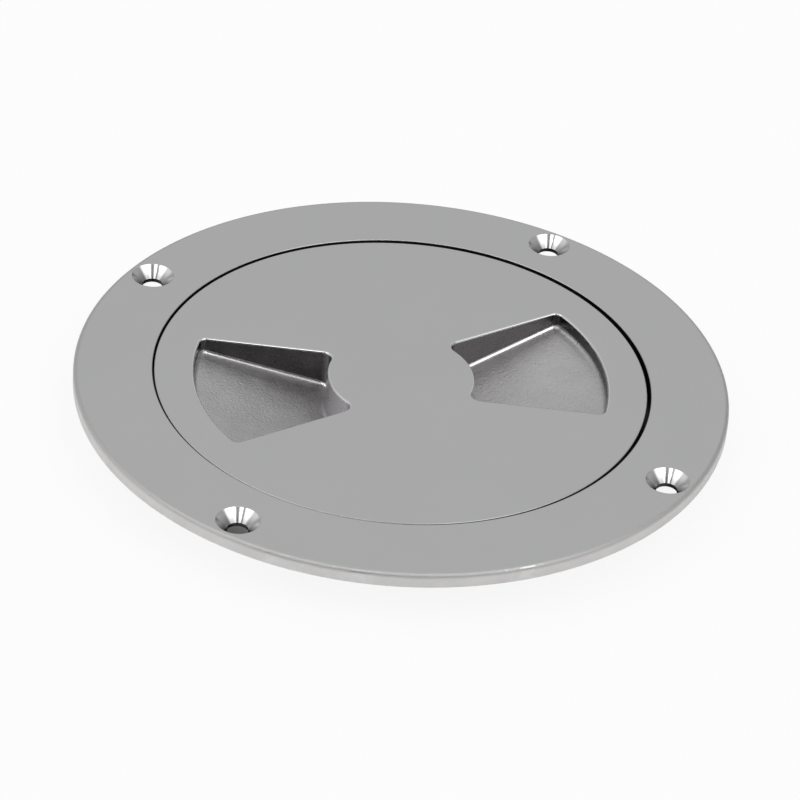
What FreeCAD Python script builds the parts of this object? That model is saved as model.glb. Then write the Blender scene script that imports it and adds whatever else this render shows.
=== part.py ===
# Deck inspection plate, cast in stainless steel.
#
# A flat flange ring with a threaded collar is let into a round hole in a deck and held by
# four countersunk screws. A round cover screws down into the ring until it is flush. It is
# turned by two finger pockets that leave a round grip between them. A rubber O-ring on the
# cover is squeezed against a seat in the ring and keeps the water out.
#
# Frame: millimetres, +Z up, the origin on the ring's axis in the flange's underside, which
# is the deck's surface. The finger pockets lie along X.

import FreeCAD, Part
import math
import os

Vector = FreeCAD.Vector

# Flange of the ring
flange_thickness = 3.2
flange_overhang = 13.5        # from the collar out to the flange's rim
rim_rounding = 0.8            # soft upper edge all round
rim_flat_count = 2            # flats that the rounding is built from

# Countersunk screw holes through the flange
screw_count = 4
screw_edge_distance = 5.8     # from a hole's centre to the flange's rim
first_screw_angle = 45.0
screw_hole_radius = 2.25
countersink_radius = 4.6
countersink_half_angle = 45.0

# Collar below the flange
collar_wall = 3.25            # beside the recess that the cover lies in
collar_overhang = 0.45        # how far it reaches below the cover's skirt
collar_end_flat = 0.6

# Cover: plate, pilot that carries the O-ring, and threaded skirt
cover_radius = 52.6
cover_gap = 0.65              # all round, between the cover's rim and the ring
cover_least_gap = 0.1         # left where the loose cover lies off centre
cover_lean_angle = -129.0     # the way in which it lies off centre
cover_thickness = 3.0
top_edge_flat = 0.15          # along both edges of the gap
pilot_depth = 2.0             # below the plate's underside
relief_height = 0.6           # taper from the pilot down to the foot of the thread
skirt_wall = 2.0
skirt_margin = 0.3            # plain wall below the lowest turn of thread
cover_rest_angle = -1.0       # where the thread stops it, from square with the screw holes

# Finger pockets
pocket_margin = 8.4           # from the cover's rim to a pocket's outer wall
grip_radius = 15.8            # the round grip that the two pockets leave between them
pocket_half_angle = 18.5      # each side's slant from the pocket's middle line
pocket_side_offset = 5.8      # from the cover's centre to the line of each side
pocket_outer_depth = 3.3
pocket_grip_depth = 8.7
pocket_corner_rounding = 1.5
pocket_tip_rounding = 1.8     # the two pointed corners beside the grip
pocket_lip_flat = 0.2
pocket_wall = 2.2             # casting thickness round and under a pocket

# Thread between cover and ring: one start, right-handed
thread_pitch = 2.0
thread_turns = 1.75
thread_depth = 1.5
thread_crest_width = 0.4
thread_flank_angle = 20.0
thread_least_gap = 0.2        # between crest and root, on the side where the cover lies close
thread_start_clearance = 0.3  # from the taper to the ring's uppermost turn
ridge_sink = 0.3              # how far a ridge reaches into the wall that carries it

# O-ring
seal_section = 2.0            # free diameter of the cord
seal_height = 1.8             # squeezed between cover and seat
seal_side_flat_count = 3      # flats that each round side is built from
seal_clearance = 0.05         # round the pilot
seal_outer_gap = 0.09         # to the recess, on the side where the cover lies close

# Limits used while building
cut_margin = 10.0             # how far a cutting body stands clear of what it cuts
length_tolerance = 1e-6

# Worked out from the above
top = flange_thickness
plate_underside = top - cover_thickness
recess_radius = cover_radius + cover_gap
collar_radius = recess_radius + collar_wall
flange_radius = collar_radius + flange_overhang
screw_circle_radius = flange_radius - screw_edge_distance
cover_play = cover_gap - cover_least_gap
cover_axis = Vector(cover_play * math.cos(math.radians(cover_lean_angle)),
                    cover_play * math.sin(math.radians(cover_lean_angle)), 0)
seat_level = plate_underside - seal_height
seal_flat_width = 0.25 * math.pi * (seal_section ** 2 - seal_height ** 2) / seal_height
seal_width = seal_height + seal_flat_width
seal_outer_radius = recess_radius - cover_play - seal_outer_gap
seal_inner_radius = seal_outer_radius - seal_width
pilot_radius = seal_inner_radius - seal_clearance
pilot_end = plate_underside - pilot_depth
male_root_radius = pilot_radius - thread_depth
skirt_inner_radius = male_root_radius - skirt_wall
bore_radius = pilot_radius + cover_play + thread_least_gap
pocket_outer_radius = cover_radius - pocket_margin
floor_slope = (pocket_grip_depth - pocket_outer_depth) / (pocket_outer_radius - grip_radius)
ridge_crest_half = 0.5 * thread_crest_width
ridge_root_half = ridge_crest_half + thread_depth * math.tan(math.radians(thread_flank_angle))
relief_end = pilot_end - relief_height
female_top = relief_end - thread_start_clearance - ridge_crest_half
female_low = female_top - thread_turns * thread_pitch
male_low = female_low - 0.5 * thread_pitch
skirt_end = male_low - ridge_root_half - skirt_margin
collar_end = skirt_end - collar_overhang
above = top + cut_margin
below = collar_end - cut_margin


def arc_corners(x, z, radius, start, end, flats):
    """Corners of a section along an arc about (x, z), from one angle to another in degrees."""
    corners = []
    for i in range(flats + 1):
        angle = math.radians(start + (end - start) * i / flats)
        corners.append((x + radius * math.cos(angle), z + radius * math.sin(angle), 0))
    return corners


def turned(corners):
    """A solid of revolution about Z from its section's corners (radius, height, flat).

    Each corner is broken by a flat that starts that far from it along both of its sides.
    """
    points = []
    for i, (x, z, flat) in enumerate(corners):
        here = Vector(x, 0, z)
        if not flat:
            points.append(here)
            continue
        for x_near, z_near, _ in (corners[i - 1], corners[(i + 1) % len(corners)]):
            along = Vector(x_near, 0, z_near) - here
            points.append(here + along.normalize() * flat)
    section = Part.Face(Part.makePolygon(points + points[:1]))
    return section.revolve(Vector(0, 0, 0), Vector(0, 0, 1), 360)


def thread_ridge(root_radius, outward, low):
    """One helical ridge on a wall of root_radius, standing outwards or inwards."""
    way = 1.0 if outward else -1.0
    base = root_radius - way * ridge_sink
    crest = root_radius + way * thread_depth
    section = Part.makePolygon([
        Vector(base, 0, low - ridge_root_half),
        Vector(root_radius, 0, low - ridge_root_half),
        Vector(crest, 0, low - ridge_crest_half),
        Vector(crest, 0, low + ridge_crest_half),
        Vector(root_radius, 0, low + ridge_root_half),
        Vector(base, 0, low + ridge_root_half),
        Vector(base, 0, low - ridge_root_half),
    ])
    helix = Part.makeHelix(thread_pitch, thread_turns * thread_pitch, root_radius)
    helix.translate(Vector(0, 0, low))
    return Part.Wire(helix.Edges).makePipeShell([section], True, True)


def screw_hole(angle):
    """The void of one countersunk hole, standing through the flange."""
    cone_depth = (countersink_radius - screw_hole_radius) / math.tan(
        math.radians(countersink_half_angle))
    mouth = countersink_radius + (above - top) * math.tan(math.radians(countersink_half_angle))
    shaft = Part.makeCylinder(screw_hole_radius, above - below, Vector(0, 0, below))
    cone = Part.makeCone(screw_hole_radius, mouth, cone_depth + above - top,
                         Vector(0, 0, top - cone_depth))
    void = shaft.fuse(cone)
    void.translate(Vector(screw_circle_radius, 0, 0))
    void.rotate(Vector(0, 0, 0), Vector(0, 0, 1), angle)
    return void


def flange_ring():
    body = turned([
        (recess_radius, top, top_edge_flat),
        *arc_corners(flange_radius - rim_rounding, top - rim_rounding, rim_rounding, 90, 0, rim_flat_count),
        (flange_radius, 0, 0),
        (collar_radius, 0, 0),
        (collar_radius, collar_end, collar_end_flat),
        (bore_radius, collar_end, collar_end_flat),
        (bore_radius, seat_level, 0),
        (recess_radius, seat_level, 0),
    ])
    body = body.fuse(thread_ridge(bore_radius, False, female_low))
    step = 360.0 / screw_count
    holes = [screw_hole(first_screw_angle + i * step) for i in range(screw_count)]
    return body.cut(holes)


def upright_edges(shape, nearest, farthest):
    """The straight vertical edges that lie between two distances from the axis."""
    found = []
    for edge in shape.Edges:
        first, last = edge.Vertexes[0].Point, edge.Vertexes[-1].Point
        distance = math.hypot(first.x, first.y)
        level = abs(first.z - last.z)
        upright = level > length_tolerance and abs(edge.Length - level) < length_tolerance
        if upright and nearest < distance < farthest:
            found.append(edge)
    return found


def pocket_prism(grow):
    """An upright prism over one pocket's outline, on the +X side, grown outwards by grow."""
    outer = pocket_outer_radius + grow
    inner = grip_radius - grow
    offset = pocket_side_offset + grow
    slant = math.radians(pocket_half_angle)

    def on_side(radius, side):
        along = math.sqrt(radius ** 2 - offset ** 2)
        x = along * math.cos(slant) - offset * math.sin(slant)
        y = along * math.sin(slant) + offset * math.cos(slant)
        return Vector(x, side * y, below)

    edges = [
        Part.Arc(on_side(outer, -1), Vector(outer, 0, below), on_side(outer, 1)).toShape(),
        Part.LineSegment(on_side(outer, 1), on_side(inner, 1)).toShape(),
        Part.Arc(on_side(inner, 1), Vector(inner, 0, below), on_side(inner, -1)).toShape(),
        Part.LineSegment(on_side(inner, -1), on_side(outer, -1)).toShape(),
    ]
    prism = Part.Face(Part.Wire(edges)).extrude(Vector(0, 0, above - below))
    middle_radius = 0.5 * (outer + inner)
    corners = upright_edges(prism, middle_radius, 2.0 * outer)
    prism = prism.makeFillet(pocket_corner_rounding + grow, corners)
    tips = upright_edges(prism, 0.0, middle_radius)
    return prism.makeFillet(pocket_tip_rounding + grow, tips)


def pocket_floor_level(radius):
    return top - pocket_outer_depth - floor_slope * (pocket_outer_radius - radius)


def above_floor(drop):
    """Everything above the pockets' conical floor, lowered by drop, out to the cover's rim."""
    body = turned([
        (0, pocket_floor_level(0) - drop, 0),
        (cover_radius, pocket_floor_level(cover_radius) - drop, 0),
        (cover_radius, above, 0),
        (0, above, 0),
    ])
    body.rotate(Vector(0, 0, 0), Vector(0, 0, 1), 90)      # its seam clear of the pockets
    return body


def pocket_void():
    return pocket_prism(0).common(above_floor(0))


def pocket_cup():
    """The casting round one pocket, from its underside up into the plate."""
    cup = pocket_prism(pocket_wall).common(above_floor(pocket_wall))
    middle_of_plate = Vector(0, 0, top - 0.5 * cover_thickness)
    return cup.cut(Part.makeCylinder(cover_radius, above, middle_of_plate))


def break_pocket_lips(body):
    """Small flats along the two pockets' mouths in the cover's top face."""
    lips = []
    for edge in body.Edges:
        on_top = all(abs(v.Z - top) < length_tolerance for v in edge.Vertexes)
        farthest = max(math.hypot(v.X, v.Y) for v in edge.Vertexes)
        if on_top and farthest < pocket_outer_radius + length_tolerance:
            lips.append(edge)
    return body.makeChamfer(pocket_lip_flat, lips)


def cover():
    body = turned([
        (0, top, 0),
        (cover_radius, top, top_edge_flat),
        (cover_radius, plate_underside, 0),
        (pilot_radius, plate_underside, 0),
        (pilot_radius, pilot_end, 0),
        (male_root_radius, relief_end, 0),
        (male_root_radius, skirt_end, 0),
        (skirt_inner_radius, skirt_end, 0),
        (skirt_inner_radius, plate_underside, 0),
        (0, plate_underside, 0),
    ])
    half_turn = (Vector(0, 0, 0), Vector(0, 0, 1), 180)
    cup = pocket_cup()
    void = pocket_void()
    second_cup, second_void = cup.copy(), void.copy()
    second_cup.rotate(*half_turn)
    second_void.rotate(*half_turn)
    body = body.fuse([cup, second_cup]).cut([void, second_void])
    body = break_pocket_lips(body)
    body.rotate(Vector(0, 0, 0), Vector(0, 0, 1), cover_rest_angle)
    body = body.fuse(thread_ridge(male_root_radius, True, male_low))
    body.translate(cover_axis)
    return body


def o_ring():
    """The O-ring as it lies squeezed: flat where it bears, round at its two sides."""
    side = 0.5 * seal_height
    middle = plate_underside - side
    ring = turned([
        *arc_corners(seal_outer_radius - side, middle, side, 90, -90, seal_side_flat_count),
        *arc_corners(seal_inner_radius + side, middle, side, -90, -270, seal_side_flat_count),
    ])
    ring.translate(cover_axis)
    return ring


def main():
    os.makedirs("parts", exist_ok=True)
    pieces = {"flange_ring": flange_ring(), "cover": cover(), "o_ring": o_ring()}
    for name, shape in pieces.items():
        piece = Part.makeCompound(shape.Solids)
        piece.exportStep(os.path.join("parts", name + ".step"))
        print(name, "solids", len(piece.Solids), "valid", piece.isValid(),
              "volume", round(piece.Volume, 1), "mm3")


main()
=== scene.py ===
import bpy
from math import radians, sin, cos, tan, hypot, atan2
from mathutils import Matrix, Vector


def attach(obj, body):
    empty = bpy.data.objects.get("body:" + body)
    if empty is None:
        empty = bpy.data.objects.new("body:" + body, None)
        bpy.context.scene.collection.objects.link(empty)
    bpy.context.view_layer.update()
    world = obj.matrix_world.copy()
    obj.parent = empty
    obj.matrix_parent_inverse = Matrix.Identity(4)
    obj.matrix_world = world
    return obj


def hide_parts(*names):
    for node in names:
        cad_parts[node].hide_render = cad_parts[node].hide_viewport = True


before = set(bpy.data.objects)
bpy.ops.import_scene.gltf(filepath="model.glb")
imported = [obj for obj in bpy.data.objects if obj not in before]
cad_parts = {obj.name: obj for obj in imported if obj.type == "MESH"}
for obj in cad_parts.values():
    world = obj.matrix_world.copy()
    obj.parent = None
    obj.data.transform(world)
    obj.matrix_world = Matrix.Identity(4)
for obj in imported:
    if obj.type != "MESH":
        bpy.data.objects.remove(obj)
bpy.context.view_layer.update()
mm = 0.001        # sizes below are in millimetres, where nothing else is said
near = 0.02       # how near a point counts as on a given circle
slack = 0.01      # allowance for faces and points at a given radius or level
weld = 0.002      # points nearer than this become one
sliver = 0.001    # faces thinner than this are taken out


def clearSelection():
    active = bpy.context.view_layer.objects.active
    if active and active.mode != "OBJECT":
        bpy.ops.object.mode_set(mode="OBJECT")
    bpy.ops.object.select_all(action="DESELECT")


def activate(piece):
    clearSelection()
    piece.select_set(True)
    bpy.context.view_layer.objects.active = piece


def pickFaces(piece, test):
    # leaves edit mode with the faces selected whose centre (mm) and normal pass the test
    activate(piece)
    bpy.ops.object.mode_set(mode="EDIT")
    bpy.ops.mesh.select_mode(type="FACE")
    bpy.ops.mesh.select_all(action="DESELECT")
    bpy.ops.object.mode_set(mode="OBJECT")
    for face in piece.data.polygons:
        face.select = test(face.center / mm, face.normal)
    bpy.ops.object.mode_set(mode="EDIT")


def pickEdges(piece, test):
    # the same for edges, by both of their ends
    activate(piece)
    bpy.ops.object.mode_set(mode="EDIT")
    bpy.ops.mesh.select_mode(type="EDGE")
    bpy.ops.mesh.select_all(action="DESELECT")
    bpy.ops.object.mode_set(mode="OBJECT")
    places = [v.co / mm for v in piece.data.vertices]
    for edge in piece.data.edges:
        edge.select = all(test(places[i]) for i in edge.vertices)
    bpy.ops.object.mode_set(mode="EDIT")


def onCircle(radius, height, x=0.0, y=0.0):
    def test(p):
        return abs(hypot(p.x - x, p.y - y) - radius) < near and abs(p.z - height) < near
    return test


def fromAxis(point):
    return hypot(point.x, point.y)


def giveMaterials(piece, *materials):
    for material in materials:
        piece.data.materials.append(material)


def paintFaces(piece, material, test):
    # one of the piece's materials for the faces that pass the test
    pickFaces(piece, test)
    piece.active_material_index = piece.data.materials.find(material.name)
    bpy.ops.object.material_slot_assign()
    bpy.ops.object.mode_set(mode="OBJECT")


def roundOff(piece, test, size, segments, material=None):
    pickEdges(piece, test)
    bpy.ops.mesh.bevel(
        offset=size * mm, segments=segments, affect="EDGES", clamp_overlap=False,
        material=piece.data.materials.find(material.name) if material else -1)
    bpy.ops.object.mode_set(mode="OBJECT")


def closeUp():
    bpy.ops.mesh.select_all(action="SELECT")
    bpy.ops.mesh.remove_doubles(threshold=weld * mm)
    bpy.ops.mesh.normals_make_consistent(inside=False)
    bpy.ops.object.mode_set(mode="OBJECT")


def turnedBody(name, corners, steps, capped=False):
    # lathe work: a circle pulled from corner to corner (radius, height) of the section
    clearSelection()
    radius, height = corners[0]
    bpy.ops.mesh.primitive_circle_add(
        vertices=steps, radius=radius * mm, location=(0, 0, height * mm),
        fill_type="NGON" if capped else "NOTHING")
    piece = bpy.context.object
    piece.name = piece.data.name = name
    bpy.ops.object.transform_apply()
    bpy.ops.object.mode_set(mode="EDIT")
    bpy.ops.mesh.select_mode(type="EDGE")
    bpy.ops.mesh.select_all(action="SELECT")
    if capped:
        bpy.ops.mesh.region_to_loop()
    for nextRadius, nextHeight in corners[1:]:
        bpy.ops.mesh.extrude_edges_move(
            TRANSFORM_OT_translate={"value": (0, 0, (nextHeight - height) * mm)})
        grow = nextRadius / radius
        bpy.ops.transform.resize(value=(grow, grow, 1), center_override=(0, 0, nextHeight * mm))
        radius, height = nextRadius, nextHeight
    if capped:
        bpy.ops.mesh.edge_face_add()
    closeUp()
    return piece


def combine(piece, tools, operation):
    for tool in tools:
        activate(piece)
        step = piece.modifiers.new("combine", "BOOLEAN")
        step.operation = operation
        step.solver = "EXACT"
        step.material_mode = "TRANSFER"
        step.object = tool
        bpy.ops.object.modifier_apply(modifier=step.name)
        bpy.data.objects.remove(tool)


def duplicate(piece, name):
    activate(piece)
    bpy.ops.object.duplicate()
    copy = bpy.context.object
    copy.name = copy.data.name = name
    return copy


def threadRidge(name, rootRadius, outward, low):
    # a trapezoid drawn out along the thread by a Screw modifier
    way = 1 if outward else -1
    depth = thread["depth"] + thread["sink"]
    rootHeight = thread["crestWidth"] + 2 * depth * tan(radians(thread["flankAngle"]))
    middle = rootRadius + way * (thread["depth"] - thread["sink"]) / 2
    clearSelection()
    bpy.ops.mesh.primitive_plane_add(size=mm, rotation=(radians(90), 0, 0))
    ridge = bpy.context.object
    ridge.name = ridge.data.name = name
    ridge.scale = (depth, rootHeight, 1)
    ridge.location = (middle * mm, 0, low * mm)
    bpy.ops.object.transform_apply()
    pickEdges(ridge, lambda p: way * (p.x - middle) > 0)
    bpy.ops.transform.resize(value=(1, 1, thread["crestWidth"] / rootHeight),
                             center_override=(middle * mm, 0, low * mm))
    bpy.ops.object.mode_set(mode="OBJECT")
    screw = ridge.modifiers.new("thread", "SCREW")
    screw.axis = "Z"
    screw.angle = radians(360 * thread["turns"])
    screw.screw_offset = thread["pitch"] * thread["turns"] * mm
    screw.steps = screw.render_steps = thread["steps"]
    bpy.ops.object.modifier_apply(modifier=screw.name)
    bpy.ops.object.mode_set(mode="EDIT")
    bpy.ops.mesh.select_all(action="SELECT")
    bpy.ops.mesh.fill_holes(sides=0)
    closeUp()
    giveMaterials(ridge, turnedSteel)
    return ridge


def cleanUp(piece):
    # triangles only, and none of them without area
    activate(piece)
    bpy.ops.object.mode_set(mode="EDIT")
    bpy.ops.mesh.select_mode(type="FACE")
    bpy.ops.mesh.select_all(action="SELECT")
    bpy.ops.mesh.quads_convert_to_tris()
    bpy.ops.mesh.dissolve_degenerate(threshold=sliver * mm)
    bpy.ops.object.mode_set(mode="OBJECT")


# smooth shading goes over edges up to this angle; a level face's normal points up or down
# by at least its share, and an upright face's by less than its own
shading = {"angle": 32, "level": 0.99999, "upright": 0.1}


def keepFlatsFlat(piece):
    # smooth shading, but every level face keeps its own normal
    activate(piece)
    bpy.ops.object.shade_smooth_by_angle(angle=radians(shading["angle"]))
    pickFaces(piece, lambda centre, normal: abs(normal.z) > shading["level"])
    bpy.ops.mesh.region_to_loop()
    bpy.ops.mesh.mark_sharp()
    bpy.ops.object.mode_set(mode="OBJECT")


# low over the front of the plate, with a long lens, as in the photograph: angles in
# degrees, distance and target in metres
camera = {
    "azimuth": -16.6,
    "elevation": 34.37,
    "roll": 4.74,
    "distance": 0.8193,
    "lens": 172.9,
    "sensor": 36,
    "shift": (-0.00300, -0.03175),
    "target": (0, 0, 0.0032),
    "clip": (0.01, 50),
}
camAzimuth = radians(camera["azimuth"])
camElevation = radians(camera["elevation"])
towardsCamera = Vector((sin(camAzimuth) * cos(camElevation),
                        -cos(camAzimuth) * cos(camElevation), sin(camElevation)))
turn = (Matrix.Rotation(camAzimuth, 4, "Z")
        @ Matrix.Rotation(radians(90) - camElevation, 4, "X")
        @ Matrix.Rotation(radians(camera["roll"]), 4, "Z"))
clearSelection()
bpy.ops.object.camera_add()
cam = bpy.context.object
cam.name = "camera"
cam.matrix_world = Matrix.Translation(
    Vector(camera["target"]) + towardsCamera * camera["distance"]) @ turn
cam.data.lens = camera["lens"]
cam.data.sensor_width = camera["sensor"]
cam.data.shift_x, cam.data.shift_y = camera["shift"]
cam.data.clip_start, cam.data.clip_end = camera["clip"]
bpy.context.scene.camera = cam
print("camera placed")


def math(tree, operation, first, second=0.0):
    node = tree.nodes.new("ShaderNodeMath")
    node.operation = operation
    for socket, value in zip(node.inputs, (first, second)):
        if hasattr(value, "links"):
            tree.links.new(value, socket)
        else:
            socket.default_value = value
    return node.outputs[0]


def ramp(tree, value, low, high, atLow=0.0, atHigh=1.0, smooth=True):
    node = tree.nodes.new("ShaderNodeMapRange")
    if smooth:
        node.interpolation_type = "SMOOTHSTEP"
    tree.links.new(value, node.inputs["Value"])
    node.inputs["From Min"].default_value = low
    node.inputs["From Max"].default_value = high
    node.inputs["To Min"].default_value = atLow
    node.inputs["To Max"].default_value = atHigh
    return node.outputs["Result"]


def noise(tree, vector, scale, kind):
    node = tree.nodes.new("ShaderNodeTexNoise")
    tree.links.new(vector, node.inputs["Vector"])
    tree.links.new(scale, node.inputs["Scale"])
    node.inputs["Detail"].default_value = kind["detail"]
    node.inputs["Roughness"].default_value = kind["roughness"]
    return node.outputs["Fac"]


def objectPlace(tree):
    return tree.nodes.new("ShaderNodeTexCoord").outputs["Object"]


def placeAlong(tree):
    node = tree.nodes.new("ShaderNodeSeparateXYZ")
    tree.links.new(objectPlace(tree), node.inputs[0])
    return node.outputs


# fine grain of tumbled steel, with broad faint clouds of tone; both sizes in mm
fineNoise = {"detail": 3.0, "roughness": 0.6, "share": 0.4}
broadNoise = {"detail": 2.0, "roughness": 0.5, "share": 0.6}
grain = bpy.data.node_groups.new("grain", "ShaderNodeTree")
for label, usual in (("size", 0.2), ("clouds", 30.0)):
    socket = grain.interface.new_socket(label, in_out="INPUT", socket_type="NodeSocketFloat")
    socket.default_value = usual
for label in ("height", "tone"):
    grain.interface.new_socket(label, in_out="OUTPUT", socket_type="NodeSocketFloat")
grainIn = grain.nodes.new("NodeGroupInput")
grainOut = grain.nodes.new("NodeGroupOutput")
grainPlace = objectPlace(grain)
grainScale = math(grain, "DIVIDE", 1 / mm, grainIn.outputs["size"])
cloudScale = math(grain, "DIVIDE", 1 / mm, grainIn.outputs["clouds"])
fineGrain = noise(grain, grainPlace, grainScale, fineNoise)
broadClouds = noise(grain, grainPlace, cloudScale, broadNoise)
grainTone = math(grain, "ADD", math(grain, "MULTIPLY", fineGrain, fineNoise["share"]),
                 math(grain, "MULTIPLY", broadClouds, broadNoise["share"]))
grain.links.new(fineGrain, grainOut.inputs["height"])
grain.links.new(grainTone, grainOut.inputs["tone"])
toneRange = (0.3, 0.7)        # where nearly all of the grain's tone lies


def addGrain(tree, size, clouds):
    node = tree.nodes.new("ShaderNodeGroup")
    node.node_tree = grain
    node.inputs["size"].default_value = size
    node.inputs["clouds"].default_value = clouds
    return node.outputs["height"], node.outputs["tone"]


def newFinish(name, finish):
    material = bpy.data.materials.new(name)
    material.use_nodes = True
    tree = material.node_tree
    shader = tree.nodes["Principled BSDF"]
    shader.inputs["Metallic"].default_value = finish.get("metallic", 1.0)
    return material, tree, shader, *addGrain(tree, finish["grain"], finish["clouds"])


def tinted(tree, shader, amount, finish):
    node = tree.nodes.new("ShaderNodeMix")
    node.data_type = "RGBA"
    tree.links.new(amount, node.inputs["Factor"])
    node.inputs["A"].default_value = (*finish["dark"], 1)
    node.inputs["B"].default_value = (*finish["light"], 1)
    tree.links.new(node.outputs["Result"], shader.inputs["Base Color"])


def roughened(tree, shader, tone, finish):
    tree.links.new(ramp(tree, tone, *toneRange, *finish["roughness"], smooth=False),
                   shader.inputs["Roughness"])


def bumped(tree, shader, height, finish):
    node = tree.nodes.new("ShaderNodeBump")
    node.inputs["Distance"].default_value = finish["bump"] * mm
    tree.links.new(height, node.inputs["Height"])
    tree.links.new(node.outputs["Normal"], shader.inputs["Normal"])


def grainyFinish(name, finish):
    # tone, roughness and bump all come from the grain
    material, tree, shader, height, tone = newFinish(name, finish)
    tinted(tree, shader, tone, finish)
    roughened(tree, shader, tone, finish)
    bumped(tree, shader, height, finish)
    return material


satinSteel = grainyFinish("satinSteel", {
    "dark": (0.541, 0.543, 0.543), "light": (0.625, 0.627, 0.627),
    "roughness": (0.34, 0.42), "grain": 0.16, "clouds": 25.0, "bump": 0.004})

# lips of the pockets and the hollow along their side walls, worn smooth
polishedSteel = grainyFinish("polishedSteel", {
    "dark": (0.72, 0.72, 0.72), "light": (0.84, 0.84, 0.84),
    "roughness": (0.12, 0.20), "grain": 0.25, "clouds": 2.0, "bump": 0.004})

# steep pocket walls are painted dark, as painted shade; the gap and the bores of the screw holes
# are painted near black, as painted shade
# a dark tint on the pocket walls, painted shade in place of their reflections
paintedShadeWall = grainyFinish("paintedShadeWall", {
    "dark": (0.10, 0.096, 0.098), "light": (0.17, 0.163, 0.165),
    "roughness": (0.22, 0.34), "grain": 0.5, "clouds": 4.0, "bump": 0.03})
# near black: painted shade for the gap round the cover and the bores of the screw holes
gapAndHoleShade = grainyFinish("gapAndHoleShade", {
    "dark": (0.03, 0.03, 0.03), "light": (0.08, 0.08, 0.08),
    "roughness": (0.35, 0.5), "grain": 0.4, "clouds": 5.0, "bump": 0.01})

sealRubber = grainyFinish("sealRubber", {
    "dark": (0.012, 0.012, 0.013), "light": (0.03, 0.03, 0.032), "metallic": 0.0,
    "roughness": (0.45, 0.6), "grain": 0.15, "clouds": 6.0, "bump": 0.01})

castFinish = {
    "dark": (0.46, 0.45, 0.46), "light": (0.705, 0.695, 0.705),
    "roughness": (0.24, 0.40), "grain": 0.6, "clouds": 6.0, "bump": 0.11,
    "fineGrain": 0.25, "fineClouds": 3.0, "fineShare": 0.45,
}
castSteel, tree, shader, height, tone = newFinish("castSteel", castFinish)
fineHeight, fineTone = addGrain(tree, castFinish["fineGrain"], castFinish["fineClouds"])
tinted(tree, shader, tone, castFinish)
roughened(tree, shader, fineTone, castFinish)
fineHeight = math(tree, "MULTIPLY", fineHeight, castFinish["fineShare"])
bumped(tree, shader, math(tree, "ADD", height, fineHeight), castFinish)

# countersinks: painted bright at the mouth, a painted reflection, and darker towards the bottom, a
# painted shade
sinkFinish = {
    "dark": (0.34, 0.335, 0.34), "light": (0.86, 0.86, 0.86),
    "roughness": (0.10, 0.17), "grain": 0.25, "clouds": 2.0, "bump": 0.003,
    "bottom": 0.7, "mouth": 2.9, "patchiness": 0.2,
}
sinkSteel, tree, shader, height, tone = newFinish("sinkSteel", sinkFinish)
# painted light by height: painted shade low in the countersink, a painted highlight at its mouth
paintedLightByHeight = ramp(tree, placeAlong(tree)["Z"], sinkFinish["bottom"] * mm, sinkFinish["mouth"] * mm)
patchy = ramp(tree, tone, *toneRange, 1 - sinkFinish["patchiness"], 1.0)
tinted(tree, shader, math(tree, "MULTIPLY", paintedLightByHeight, patchy), sinkFinish)
roughened(tree, shader, tone, sinkFinish)
bumped(tree, shader, height, sinkFinish)

# fine rings of the lathe tool
turnedFinish = {
    "dark": (0.50, 0.50, 0.50), "light": (0.60, 0.60, 0.60),
    "roughness": (0.26, 0.36), "grain": 0.3, "clouds": 10.0, "bump": 0.006,
    "feed": 0.25, "grooveShare": 0.5,
}
turnedSteel, tree, shader, height, tone = newFinish("turnedSteel", turnedFinish)
place = placeAlong(tree)
across = math(tree, "SQRT", math(tree, "ADD", math(tree, "POWER", place["X"], 2.0),
                                 math(tree, "POWER", place["Y"], 2.0)))
alongSection = math(tree, "ADD", across, place["Z"])
groove = math(tree, "SINE", math(tree, "MULTIPLY", alongSection,
                                 radians(360) / (turnedFinish["feed"] * mm)))
groove = math(tree, "MULTIPLY", groove, turnedFinish["grooveShare"])
tinted(tree, shader, tone, turnedFinish)
roughened(tree, shader, tone, turnedFinish)
bumped(tree, shader, math(tree, "ADD", groove, height), turnedFinish)

# the ring's rim: lighter and rougher, with a few smooth spots that glint; the lighter wall is a
# painted reflection, and its upper rounding is painted darker, a painted shade
rimFinish = {
    "dark": (0.58, 0.575, 0.57), "light": (0.84, 0.83, 0.825),
    "grain": 0.3, "clouds": 6.0, "bump": 0.008,
    "wallTop": 1.9, "edge": 3.0, "patchiness": 0.25,
    "spotGrain": 1.6, "spotClouds": 9.0, "spotEdge": (0.54, 0.64), "roughness": (0.58, 0.28),
}
rimSteel, tree, shader, height, tone = newFinish("rimSteel", rimFinish)
# painted light by height: the rim's wall painted lighter as a painted reflection, its upper
# rounding darker as painted shade over its highlight
paintedLightByHeight = ramp(tree, placeAlong(tree)["Z"], rimFinish["wallTop"] * mm, rimFinish["edge"] * mm,
             1.0, 0.0)
patchy = ramp(tree, tone, *toneRange, 1 - rimFinish["patchiness"], 1.0)
tinted(tree, shader, math(tree, "MULTIPLY", paintedLightByHeight, patchy), rimFinish)
spotTone = addGrain(tree, rimFinish["spotGrain"], rimFinish["spotClouds"])[1]
tree.links.new(ramp(tree, spotTone, *rimFinish["spotEdge"], *rimFinish["roughness"]),
               shader.inputs["Roughness"])
bumped(tree, shader, height, rimFinish)
print("materials made")


# shared by ring and cover
thread = {
    "pitch": 2.0,
    "turns": 1.75,
    "depth": 1.5,
    "crestWidth": 0.4,
    "flankAngle": 20.0,
    "sink": 0.3,         # how far a ridge's root reaches into its wall
    "steps": 420,
}

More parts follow.
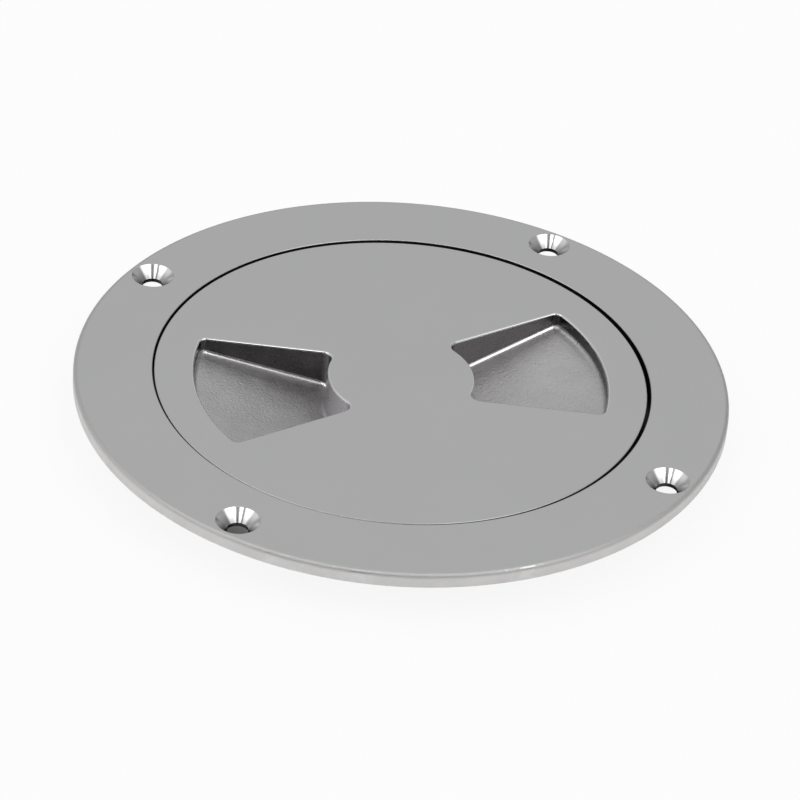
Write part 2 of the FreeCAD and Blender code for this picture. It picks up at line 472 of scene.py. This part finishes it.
ring = {
    "top": 3.2,
    "recessRadius": 53.25,
    "flangeRadius": 69.985,
    "collarRadius": 56.5,
    "collarEnd": -8.89,
    "boreRadius": 51.178,
    "seatLevel": -1.6,
    "rimRounding": 1.0,
    "rimStart": 0.03,    # how far below the top the rim's own finish begins
    "gapEdge": 0.2,
    "underEdge": 0.15,
    "collarFillet": 0.8,
    "collarEdge": 0.6,
    "threadLow": -6.4,
    "holeCircle": 64.2,
    "holeRadius": 2.25,
    "sinkRadius": 4.6,
    "holeAngles": (45, 135, 225, 315),
    "mouthEdge": 0.07,
    "drillReach": 2.0,   # how far a drill stands out above and below
    "steps": 360,
    "holeSteps": 96,
}
top = ring["top"]
section = [
    (ring["recessRadius"], top),
    (ring["flangeRadius"], top),
    (ring["flangeRadius"], 0),
    (ring["collarRadius"], 0),
    (ring["collarRadius"], ring["collarEnd"]),
    (ring["boreRadius"], ring["collarEnd"]),
    (ring["boreRadius"], ring["seatLevel"]),
    (ring["recessRadius"], ring["seatLevel"]),
]
flangeRing = turnedBody("flangeRing", section + section[:1], ring["steps"])
giveMaterials(flangeRing, satinSteel, turnedSteel, sinkSteel, gapAndHoleShade, rimSteel)
for radius, height, size, segments in (
        (ring["flangeRadius"], top, ring["rimRounding"], 8),
        (ring["recessRadius"], top, ring["gapEdge"], 4),
        (ring["flangeRadius"], 0, ring["underEdge"], 3),
        (ring["collarRadius"], 0, ring["collarFillet"], 6),
        (ring["collarRadius"], ring["collarEnd"], ring["collarEdge"], 5),
        (ring["boreRadius"], ring["collarEnd"], ring["collarEdge"], 5)):
    roundOff(flangeRing, onCircle(radius, height), size, segments)

paintFaces(flangeRing, rimSteel, lambda centre, normal: centre.z < top - ring["rimStart"]
           and fromAxis(centre) > ring["flangeRadius"] - ring["rimRounding"])
# everything turned on the lathe: recess, seat, bore and the collar's end
paintFaces(flangeRing, turnedSteel, lambda centre, normal:
           fromAxis(centre) < ring["recessRadius"] + slack)
# the recess wall in the gap round the cover is painted near black, as painted shade
paintFaces(flangeRing, gapAndHoleShade, lambda centre, normal:
           fromAxis(centre) < ring["recessRadius"] + slack
           and ring["seatLevel"] - slack < centre.z < top - ring["gapEdge"])
combine(flangeRing, [threadRidge("femaleThread", ring["boreRadius"], False, ring["threadLow"])],
        "UNION")

holes = [(ring["holeCircle"] * cos(radians(angle)), ring["holeCircle"] * sin(radians(angle)))
         for angle in ring["holeAngles"]]
drills = []
for x, y in holes:
    drill = turnedBody("drill", [
        (ring["holeRadius"], -ring["drillReach"]),
        (ring["holeRadius"], top - (ring["sinkRadius"] - ring["holeRadius"])),
        (ring["sinkRadius"] + ring["drillReach"], top + ring["drillReach"]),
    ], ring["holeSteps"], capped=True)
    giveMaterials(drill, sinkSteel, gapAndHoleShade)
    # the bore of each screw hole is painted near black, as painted shade
    paintFaces(drill, gapAndHoleShade, lambda centre, normal: abs(normal.z) < shading["upright"])
    drill.location = (x * mm, y * mm, 0)
    bpy.ops.object.transform_apply()
    drills.append(drill)
combine(flangeRing, drills, "DIFFERENCE")
for x, y in holes:
    roundOff(flangeRing, onCircle(ring["sinkRadius"], top, x, y), ring["mouthEdge"], 3, satinSteel)
cleanUp(flangeRing)
keepFlatsFlat(flangeRing)
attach(flangeRing, "ring_body")
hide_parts("flange_ring")
print("flange ring", len(flangeRing.data.polygons), "faces")


lid = {
    "radius": 52.6,
    "offCentre": (-0.346, -0.427),   # it lies a little off centre, towards the front
    "restAngle": -1.0,
    "underside": 0.2,
    "pilotRadius": 50.428,
    "pilotEnd": -1.8,
    "rootRadius": 48.928,
    "reliefEnd": -2.4,
    "skirtInner": 46.928,
    "skirtEnd": -8.446,
    "threadLow": -7.4,
    "gapEdge": 0.2,
    "skirtFillet": 0.6,
    "skirtEdge": 0.3,
    "plateMiddle": 1.5,              # a level inside the plate, above its rough underside
    "steps": 360,
}
section = [
    (lid["radius"], top),
    (lid["radius"], lid["underside"]),
    (lid["pilotRadius"], lid["underside"]),
    (lid["pilotRadius"], lid["pilotEnd"]),
    (lid["rootRadius"], lid["reliefEnd"]),
    (lid["rootRadius"], lid["skirtEnd"]),
    (lid["skirtInner"], lid["skirtEnd"]),
    (lid["skirtInner"], lid["underside"]),
]
offCentre = Vector((*lid["offCentre"], 0)) * mm
cover = turnedBody("cover", section, lid["steps"], capped=True)
giveMaterials(cover, satinSteel, turnedSteel, castSteel, polishedSteel, paintedShadeWall)
roundOff(cover, onCircle(lid["radius"], top), lid["gapEdge"], 4)
roundOff(cover, onCircle(lid["skirtInner"], lid["underside"]), lid["skirtFillet"], 5)
roundOff(cover, onCircle(lid["rootRadius"], lid["skirtEnd"]), lid["skirtEdge"], 3)
paintFaces(cover, turnedSteel, lambda centre, normal: centre.z < top - lid["gapEdge"]
           and fromAxis(centre) > lid["skirtInner"] - 2 * near)
paintFaces(cover, castSteel, lambda centre, normal: centre.z < lid["plateMiddle"]
           and fromAxis(centre) < lid["skirtInner"] - 2 * near)

pocket = {
    "outerRadius": 44.2,
    "gripRadius": 15.8,
    "halfAngle": 18.5,
    "sideOffset": 5.8,
    "outerDepth": 3.3,
    "slope": 0.19014,            # how fast the floor falls towards the grip
    "edge": 50.0,                # radius at which the floor's cone is taken
    "cornerRounding": 1.5,
    "tipRounding": 2.15,
    "footRounding": 0.9,
    "footSteps": 6,
    "footTilt": (0.5, 0.86),     # of the polished hollow at the foot, as the normal's fall
    "footInset": (1.5, 1.2),     # and how far it stays from the grip and the outer wall
    "steep": 0.3,                # walls steeper than this get the painted shade
    "gripMargin": 0.3,           # but not those nearer to the grip than this
    "wallSteps": 24,
    "cornerSteps": 10,
    "lip": 0.4,
    "roomTop": 8.0,
    "wall": 2.2,
    "cupTop": 1.7,
    "cupRounding": 1.6,
    "cellSize": 0.45,
    "cellsFrom": (11, -21),      # corner and reach of the field of cells on the floor
    "cellsReach": (34, 42),
    "floorBelow": 3.0,           # the room's floor and its foot lie below this level
    "cupFloorBelow": 1.5,        # and the cup's below this one
    "skinBelow": 2.2,            # the uneven skin of the casting stays below this one
    "skinDepth": 0.05,
    "skinSize": 0.5,
}


def arcPoints(x, y, radius, start, end, count):
    angles = [start + (end - start) * i / count for i in range(count + 1)]
    return [(x + radius * cos(angle), y + radius * sin(angle)) for angle in angles]


def pocketOutline(grow):
    # half of it from the grip round to the outer wall, with its two roundings, then mirrored
    offset = pocket["sideOffset"] + grow
    slant = radians(pocket["halfAngle"])
    half = []
    for wall, way, rounding in (
            (pocket["gripRadius"] - grow, 1, pocket["tipRounding"] + grow),
            (pocket["outerRadius"] + grow, -1, pocket["cornerRounding"] + grow)):
        reach = wall + way * rounding
        inset = offset - rounding
        along = (reach ** 2 - inset ** 2) ** 0.5
        x = along * cos(slant) - inset * sin(slant)
        y = along * sin(slant) + inset * cos(slant)
        touch = atan2(y, x)
        start, end = touch, slant + radians(90)
        if way > 0:
            start, end = touch - radians(180), slant - radians(270)
        run = arcPoints(0, 0, wall, 0, touch, pocket["wallSteps"])
        run += arcPoints(x, y, rounding, start, end, pocket["cornerSteps"])[1:]
        half += run[::way]
    return half + [(x, -y) for x, y in half[-2:0:-1]]


def pocketBlock(name, grow, drop, upTo, foot):
    # the room over one pocket's floor, grown sideways and lowered, with a level floor as yet:
    # one corner point drawn round the outline, filled and pulled up
    fall = pocket["slope"] * (pocket["edge"] - pocket["outerRadius"])
    low = top - pocket["outerDepth"] - drop + fall
    outline = pocketOutline(grow)
    clearSelection()
    bpy.ops.mesh.primitive_plane_add(
        size=mm, location=(outline[0][0] * mm, outline[0][1] * mm, low * mm))
    block = bpy.context.object
    block.name = block.data.name = name
    bpy.ops.object.transform_apply()
    bpy.ops.object.mode_set(mode="EDIT")
    bpy.ops.mesh.select_mode(type="VERT")
    bpy.ops.mesh.select_all(action="SELECT")
    bpy.ops.mesh.merge(type="CENTER")
    for (x, y), (nextX, nextY) in zip(outline, outline[1:] + outline[:1]):
        bpy.ops.mesh.extrude_vertices_move(
            TRANSFORM_OT_translate={"value": ((nextX - x) * mm, (nextY - y) * mm, 0)})
    bpy.ops.mesh.select_all(action="SELECT")
    bpy.ops.mesh.remove_doubles(threshold=weld * mm)
    bpy.ops.mesh.edge_face_add()
    bpy.ops.mesh.extrude_region_move(TRANSFORM_OT_translate={"value": (0, 0, (upTo - low) * mm)})
    closeUp()
    roundOff(block, lambda p: abs(p.z - low) < slack, foot, pocket["footSteps"])
    return block


def sinkFloor(block, above):
    # lowers the floor to a cone that gets deeper towards the grip, by weights that fall with radius
    depth = block.vertex_groups.new(name="depth")
    for v in block.data.vertices:
        if v.co.z < above * mm:
            weight = 1 - fromAxis(v.co) / mm / pocket["edge"]
            depth.add([v.index], weight, "REPLACE")
    sink = block.modifiers.new("sink", "DISPLACE")
    sink.direction = "Z"
    sink.vertex_group = "depth"
    sink.mid_level = 0
    sink.strength = -pocket["edge"] * pocket["slope"] * mm
    activate(block)
    bpy.ops.object.modifier_apply(modifier=sink.name)
    block.vertex_groups.clear()


room = pocketBlock("pocketRoom", 0, 0, pocket["roomTop"], pocket["footRounding"])

# the floor is cut into small cells, and then gets the uneven skin of the casting
pickFaces(room, lambda centre, normal: normal.z < -shading["level"])
bpy.ops.mesh.hide(unselected=True)
for axis, (first, reach) in enumerate(zip(pocket["cellsFrom"], pocket["cellsReach"])):
    across = (1, 0, 0) if axis == 0 else (0, 1, 0)
    for i in range(int(reach / pocket["cellSize"])):
        cut = Vector(across) * (first + i * pocket["cellSize"]) * mm
        bpy.ops.mesh.select_all(action="SELECT")
        bpy.ops.mesh.bisect(plane_co=cut, plane_no=across)
bpy.ops.mesh.reveal()
bpy.ops.object.mode_set(mode="OBJECT")
sinkFloor(room, pocket["floorBelow"])
skinned = room.vertex_groups.new(name="skin")
skinned.add([v.index for v in room.data.vertices if v.co.z < pocket["skinBelow"] * mm],
            1.0, "REPLACE")
clouds = bpy.data.textures.new("castSkin", "CLOUDS")
clouds.noise_scale = pocket["skinSize"] * mm
clouds.noise_depth = 2
skin = room.modifiers.new("skin", "DISPLACE")
skin.texture = clouds
skin.texture_coords = "LOCAL"
skin.vertex_group = "skin"
skin.strength = pocket["skinDepth"] * mm
skin.mid_level = 0.5
bpy.ops.object.modifier_apply(modifier=skin.name)
room.vertex_groups.clear()
giveMaterials(room, castSteel, paintedShadeWall, polishedSteel)
# the steep walls, but for the grip's, are painted dark: painted shade
paintFaces(room, paintedShadeWall, lambda centre, normal: abs(normal.z) < pocket["steep"]
           and fromAxis(centre) > pocket["gripRadius"] + pocket["gripMargin"])
# the hollow at the foot of the side walls
footLeast, footMost = pocket["footTilt"]
footFrom = pocket["gripRadius"] + pocket["footInset"][0]
footTo = pocket["outerRadius"] - pocket["footInset"][1]
paintFaces(room, polishedSteel, lambda centre, normal: footLeast < -normal.z < footMost
           and footFrom < fromAxis(centre) < footTo)

cup = pocketBlock("pocketCup", pocket["wall"], pocket["wall"],
                  pocket["cupTop"], pocket["cupRounding"])
sinkFloor(cup, pocket["cupFloorBelow"])
giveMaterials(cup, castSteel)

secondRoom, secondCup = duplicate(room, "secondRoom"), duplicate(cup, "secondCup")
for half in (secondRoom, secondCup):
    half.rotation_euler.z = radians(180)
    activate(half)
    bpy.ops.object.transform_apply()
combine(cover, [cup, secondCup], "UNION")
combine(cover, [room, secondRoom], "DIFFERENCE")
print("pockets cut")

roundOff(cover, lambda p: abs(p.z - top) < weld and fromAxis(p) < pocket["outerRadius"] + near,
         pocket["lip"], 4, polishedSteel)
cover.rotation_euler.z = radians(lid["restAngle"])
cover.location = offCentre
activate(cover)
bpy.ops.object.transform_apply()
maleThread = threadRidge("maleThread", lid["rootRadius"], True, lid["threadLow"])
maleThread.location = offCentre
bpy.ops.object.transform_apply()
combine(cover, [maleThread], "UNION")
cleanUp(cover)
keepFlatsFlat(cover)
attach(cover, "cover_body")
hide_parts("cover")
print("cover", len(cover.data.polygons), "faces")


# a torus pressed flat, wider by what it lost in height
seal = {
    "middleRadius": 51.544,
    "height": 1.8,
    "flatWidth": 0.3316,
    "middleLevel": -0.7,
    "steps": 256,
    "sectionSteps": 24,
}
clearSelection()
bpy.ops.mesh.primitive_torus_add(
    major_radius=seal["middleRadius"] * mm, minor_radius=seal["height"] / 2 * mm,
    major_segments=seal["steps"], minor_segments=seal["sectionSteps"])
oRing = bpy.context.object
oRing.name = oRing.data.name = "oRing"
for way in (1, -1):
    pickEdges(oRing, lambda p: way * (fromAxis(p) - seal["middleRadius"]) > near)
    widen = 1 + way * seal["flatWidth"] / 2 / seal["middleRadius"]
    bpy.ops.transform.resize(value=(widen, widen, 1), center_override=(0, 0, 0))
    bpy.ops.object.mode_set(mode="OBJECT")
oRing.location = offCentre + Vector((0, 0, seal["middleLevel"] * mm))
bpy.ops.object.transform_apply()
bpy.ops.object.shade_smooth()
giveMaterials(oRing, sealRubber)
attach(oRing, "seal_body")
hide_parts("o_ring")
print("O-ring", len(oRing.data.polygons), "faces")


ground = {
    "size": 8,         # metres
    "drop": 0.01,      # just below the collar's end
    "tone": 0.92,
    "roughness": 0.9,
    "glow": 0.90,      # share of white that only the camera sees
}
clearSelection()
bpy.ops.mesh.primitive_plane_add(
    size=ground["size"], location=(0, 0, (ring["collarEnd"] - ground["drop"]) * mm))
floor = bpy.context.object
floor.name = "floor"
paleFloor = bpy.data.materials.new("paleFloor")
paleFloor.use_nodes = True
tree = paleFloor.node_tree
shader = tree.nodes["Principled BSDF"]
shader.inputs["Base Color"].default_value = (ground["tone"], ground["tone"], ground["tone"], 1)
shader.inputs["Roughness"].default_value = ground["roughness"]
shader.inputs["Specular IOR Level"].default_value = 0.0
path = tree.nodes.new("ShaderNodeLightPath")
glow = tree.nodes.new("ShaderNodeEmission")
mixed = tree.nodes.new("ShaderNodeMixShader")
share = math(tree, "MULTIPLY", path.outputs["Is Camera Ray"], ground["glow"])
tree.links.new(share, mixed.inputs[0])
tree.links.new(shader.outputs[0], mixed.inputs[1])
tree.links.new(glow.outputs[0], mixed.inputs[2])
tree.links.new(mixed.outputs[0], tree.nodes["Material Output"].inputs["Surface"])
giveMaterials(floor, paleFloor)
print("floor laid")


# a light tent, given as soft patches of brightness by direction, with the camera in
# front of its dark opening
tent = {
    "level": 0.40,
    "least": 0.02,
    # azimuth from straight ahead of the camera, elevation, inner and outer angle, added light
    "patches": [
        (0, 54, 5, 42, 0.30),         # ahead, seen in the flat top
        (0, 31, 8, 28, 0.06),
        (34, 0, 8, 20, -0.22),        # darker low at the back on the right
        (180, 60, 10, 28, 1.7),       # softboxes over and beside the camera
        (128, 52, 14, 32, 1.4),
        (-125, 52, 12, 30, 1.3),
        (-90, 30, 15, 40, 0.35),      # left side
        (180, 10, 15, 38, -0.40),     # dark opening round the camera
    ],
    # azimuth and half width of dark seams between the softboxes
    "seams": [(169, 10), (-142, 6)],
    "seamDepth": 0.9,
    "seamSide": (0.1, 0.3),      # cosines between which a seam sets in on its own side
}
world = bpy.data.worlds.new("tent")
bpy.context.scene.world = world
world.use_nodes = True
tree = world.node_tree
direction = tree.nodes.new("ShaderNodeTexCoord").outputs["Generated"]


def facing(azimuth, elevation):
    # how far the direction points this way, as a cosine
    heading = radians(90 - azimuth) + camAzimuth
    node = tree.nodes.new("ShaderNodeVectorMath")
    node.operation = "DOT_PRODUCT"
    tree.links.new(direction, node.inputs[0])
    node.inputs[1].default_value = (cos(heading) * cos(radians(elevation)),
                                    sin(heading) * cos(radians(elevation)),
                                    sin(radians(elevation)))
    return node.outputs["Value"]


light = tent["level"]
for azimuth, elevation, inner, outer, amount in tent["patches"]:
    patch = ramp(tree, facing(azimuth, elevation), cos(radians(outer)), cos(radians(inner)),
                 0.0, amount)
    light = math(tree, "ADD", patch, light)
light = math(tree, "MAXIMUM", light, tent["least"])
for azimuth, width in tent["seams"]:
    aside = math(tree, "ABSOLUTE", facing(azimuth + 90, 0))
    seam = ramp(tree, aside, sin(radians(width / 2)), sin(radians(width)), tent["seamDepth"], 0.0)
    # on this side only, not opposite
    seam = math(tree, "MULTIPLY", seam, ramp(tree, facing(azimuth, 0), *tent["seamSide"]))
    light = math(tree, "MULTIPLY", light, math(tree, "SUBTRACT", 1.0, seam))
tree.links.new(light, tree.nodes["Background"].inputs["Strength"])
tree.nodes["Background"].inputs["Color"].default_value = (1, 1, 1, 1)
print("tent lit")

bpy.context.scene.view_settings.view_transform = "Standard"
